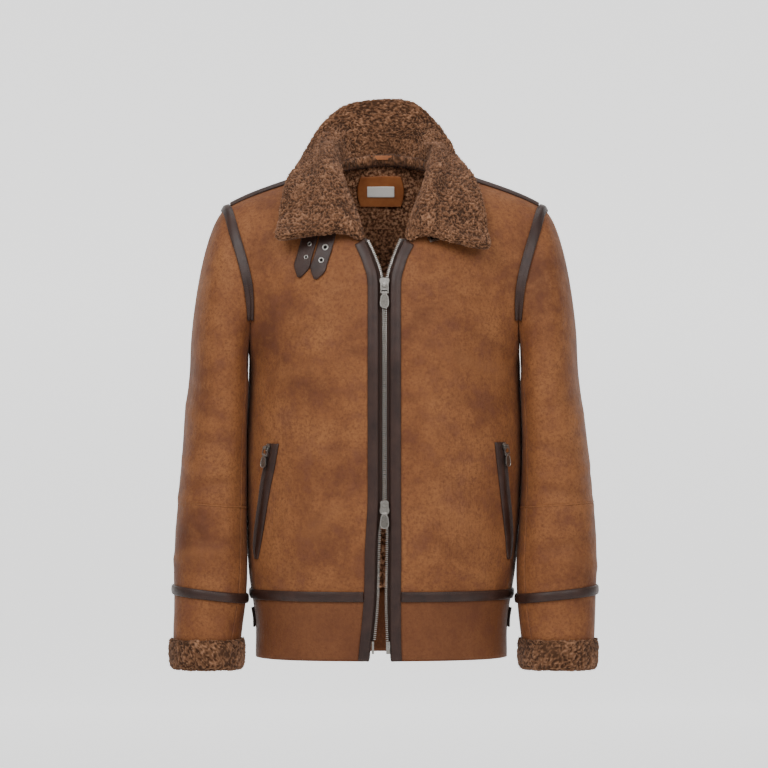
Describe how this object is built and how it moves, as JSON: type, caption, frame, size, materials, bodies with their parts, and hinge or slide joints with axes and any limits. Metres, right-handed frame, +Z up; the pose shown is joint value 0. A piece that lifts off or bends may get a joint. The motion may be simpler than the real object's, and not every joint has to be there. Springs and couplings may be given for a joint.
{
  "type": "sheepskin flying jacket",
  "caption": "Hip-length sheepskin flying jacket with a deep fleece collar, turned-back fleece cuffs, front zip, slanted zip pockets and throat straps, filled out as if worn.",
  "frame": {"origin": "Midway between the neck points of the two shoulder seams, on the shoulder line of the wearer who holds the jacket up.", "axes": "+X towards the wearer's left, -Y the way the wearer faces (the zip side), +Z up along the jacket's length."},
  "size_m": [0.6023, 0.2932, 0.8036],
  "materials": {
    "suede": "brushed suede side of the sheepskin, soft sheen, fine grain",
    "fleece": "long curled sheep's wool",
    "trim_leather": "dark smooth leather, satin",
    "zip_tape": "woven cotton tape with metal teeth",
    "metal": "aged silver plating, satin",
    "tan_leather": "orange-brown smooth leather",
    "label": "plain woven label, blank"
  },
  "bodies": {
    "jacket": {"front_left": "suede", "front_right": "suede", "back": "suede", "waistband_front_left": "suede", "waistband_front_right": "suede", "waistband_back": "suede", "sleeve_upper_top_left": "suede", "sleeve_upper_under_left": "suede", "sleeve_lower_top_left": "suede", "sleeve_lower_under_left": "suede", "sleeve_upper_top_right": "suede", "sleeve_upper_under_right": "suede", "sleeve_lower_top_right": "suede", "sleeve_lower_under_right": "suede", "collar": "fleece", "zip_strip_left": "trim_leather", "zip_strip_right": "trim_leather", "zip_tape_left": "zip_tape", "zip_tape_right": "zip_tape", "waist_strip": "trim_leather", "armhole_strip_left": "trim_leather", "armhole_strip_right": "trim_leather", "shoulder_strip_left": "trim_leather", "shoulder_strip_right": "trim_leather", "sleeve_band_left": "trim_leather", "cuff_left": "fleece", "sleeve_band_right": "trim_leather", "cuff_right": "fleece", "zip_slider_top": "metal", "zip_slider_bottom": "metal", "zip_box": "metal", "zip_pin": "metal", "pocket_welt_left": "trim_leather", "pocket_zip_left": "zip_tape", "pocket_welt_right": "trim_leather", "pocket_zip_right": "zip_tape", "pocket_slider_left": "metal", "pocket_slider_right": "metal", "throat_strap_inner": "trim_leather", "throat_strap_outer": "trim_leather", "buckle_inner": "metal", "buckle_chape_inner": "trim_leather", "buckle_outer": "metal", "buckle_chape_outer": "trim_leather", "side_tab_left": "trim_leather", "side_tab_right": "trim_leather", "neck_patch": "tan_leather", "neck_label": "label", "hanger_loop": "tan_leather"},
    "zip_link_top_body": {"zip_link_top": "metal"},
    "zip_paddle_top_body": {"zip_paddle_top": "metal"},
    "zip_link_bottom_body": {"zip_link_bottom": "metal"},
    "zip_paddle_bottom_body": {"zip_paddle_bottom": "metal"},
    "pocket_link_left_body": {"pocket_link_left": "metal"},
    "pocket_paddle_left_body": {"pocket_paddle_left": "metal"},
    "pocket_link_right_body": {"pocket_link_right": "metal"},
    "pocket_paddle_right_body": {"pocket_paddle_right": "metal"}
  },
  "joints": [
    {"name": "zip_link_top_swing", "type": "hinge", "parent": "jacket", "child": "zip_link_top_body", "pos_m": [0, -0.14027, -0.16523], "axis": [-1, 0, 0], "range_deg": [0, 120]},
    {"name": "zip_paddle_top_swing", "type": "hinge", "parent": "zip_link_top_body", "child": "zip_paddle_top_body", "pos_m": [0, -0.14184, -0.17581], "axis": [-1, 0, 0], "range_deg": [0, 60]},
    {"name": "zip_link_bottom_swing", "type": "hinge", "parent": "jacket", "child": "zip_link_bottom_body", "pos_m": [0, -0.15141, -0.46702], "axis": [-1, 0, 0], "range_deg": [0, 120]},
    {"name": "zip_paddle_bottom_swing", "type": "hinge", "parent": "zip_link_bottom_body", "child": "zip_paddle_bottom_body", "pos_m": [0, -0.15137, -0.47772], "axis": [-1, 0, 0], "range_deg": [0, 60]},
    {"name": "pocket_link_left_swing", "type": "hinge", "parent": "jacket", "child": "pocket_link_left_body", "pos_m": [0.16887, -0.08807, -0.38709], "axis": [-0.5842, -0.7843, -0.2086], "range_deg": [0, 120]},
    {"name": "pocket_paddle_left_swing", "type": "hinge", "parent": "pocket_link_left_body", "child": "pocket_paddle_left_body", "pos_m": [0.16997, -0.08611, -0.39755], "axis": [-0.5842, -0.7843, -0.2086], "range_deg": [0, 60]},
    {"name": "pocket_link_right_swing", "type": "hinge", "parent": "jacket", "child": "pocket_link_right_body", "pos_m": [-0.16386, -0.09375, -0.38881], "axis": [-0.6383, 0.7251, 0.2584], "range_deg": [0, 120]},
    {"name": "pocket_paddle_right_swing", "type": "hinge", "parent": "pocket_link_right_body", "child": "pocket_paddle_right_body", "pos_m": [-0.1657, -0.09169, -0.39915], "axis": [-0.6383, 0.7251, 0.2584], "range_deg": [0, 60]}
  ]
}
